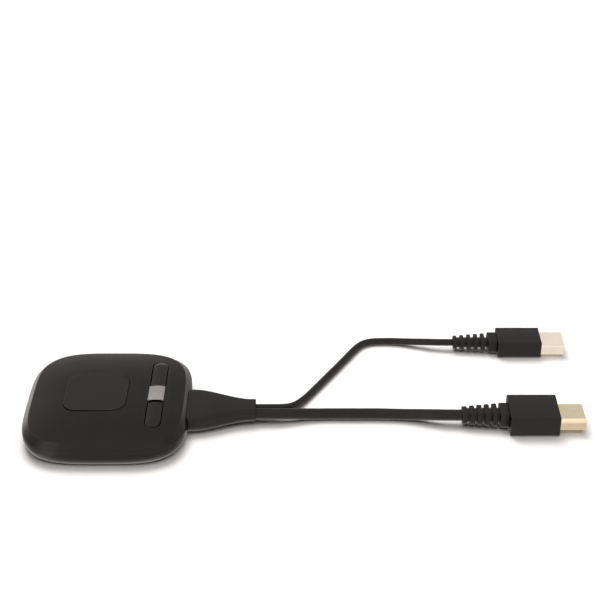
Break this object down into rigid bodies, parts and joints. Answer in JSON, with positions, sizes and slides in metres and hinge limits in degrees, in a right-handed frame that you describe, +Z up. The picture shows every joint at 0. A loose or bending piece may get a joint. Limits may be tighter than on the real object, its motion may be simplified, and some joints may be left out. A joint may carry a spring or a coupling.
{
  "type": "streaming media player",
  "caption": "Rounded-square black streaming puck with a press button and a slide control, and a strain relief that splits into an HDMI lead and a USB-A lead.",
  "frame": {"origin": "middle of the puck's footprint, on the surface it stands on", "axes": "+X from the puck along the leads to the plugs, +Y from the front to the back, +Z up"},
  "size_m": [0.2395, 0.0949, 0.0132],
  "materials": {
    "gloss_black": "glossy moulded black",
    "button_black": "semi-gloss black, very slightly warm",
    "slider_metal": "satin warm grey",
    "foot_rubber": "matt",
    "cord_rubber": "satin flexible jacket",
    "plug_plastic": "satin overmould",
    "gold_shell": "bright gold flash plating",
    "nickel_shell": "bright nickel plating",
    "dark_insulator": "moulded",
    "pale_insulator": "moulded",
    "contact_gold": "gold plated",
    "board_green": "solder mask",
    "chip_black": "moulded epoxy",
    "thermal_silicone": "matt",
    "spreader_aluminium": "mill",
    "wire_jacket": "satin",
    "inner_plastic": "moulded",
    "bright_steel": "plated"
  },
  "bodies": {
    "housing": {"antenna_left": "contact_gold", "antenna_rear": "contact_gold", "bottom_shell": "gloss_black", "cable_boot": "cord_rubber", "cable_clamp": "inner_plastic", "circuit_board": "board_green", "clamp_screw_1": "bright_steel", "clamp_screw_2": "bright_steel", "fader_body": "bright_steel", "foot_1": "foot_rubber", "foot_2": "foot_rubber", "foot_3": "foot_rubber", "foot_4": "foot_rubber", "hdmi_board_socket": "pale_insulator", "hdmi_cable": "cord_rubber", "hdmi_contact_carrier": "dark_insulator", "hdmi_plug_body": "plug_plastic", "hdmi_plug_boot": "cord_rubber", "hdmi_plug_shell": "gold_shell", "hdmi_wires": "wire_jacket", "heat_spreader": "spreader_aluminium", "main_processor": "chip_black", "memory_chip": "chip_black", "power_inductor": "chip_black", "shell_screw_1": "bright_steel", "shell_screw_2": "bright_steel", "shell_screw_3": "bright_steel", "shell_screw_4": "bright_steel", "shield_can": "bright_steel", "slider_rail": "gloss_black", "tact_switch": "bright_steel", "thermal_pad": "thermal_silicone", "top_shell": "gloss_black", "usb_board_socket": "pale_insulator", "usb_cable": "cord_rubber", "usb_contact_1": "contact_gold", "usb_contact_2": "contact_gold", "usb_contact_3": "contact_gold", "usb_contact_4": "contact_gold", "usb_contact_carrier": "pale_insulator", "usb_plug_body": "plug_plastic", "usb_plug_boot": "cord_rubber", "usb_plug_shell": "nickel_shell", "usb_wires": "wire_jacket", "wifi_module": "bright_steel"},
    "button": {"main_button": "button_black", "tact_plunger": "dark_insulator"},
    "slider": {"slider_knob": "slider_metal", "slider_carriage": "inner_plastic", "fader_lever": "pale_insulator"}
  },
  "joints": [
    {"name": "button_press", "type": "slide", "parent": "housing", "child": "button", "axis": [0, 0, -1], "range_m": [0, 0.0005], "stiffness_N_per_m": 400, "springref_m": -0.0005},
    {"name": "slider_shift", "type": "slide", "parent": "housing", "child": "slider", "axis": [0, 1, 0], "range_m": [-0.0145, 0.0145]}
  ]
}
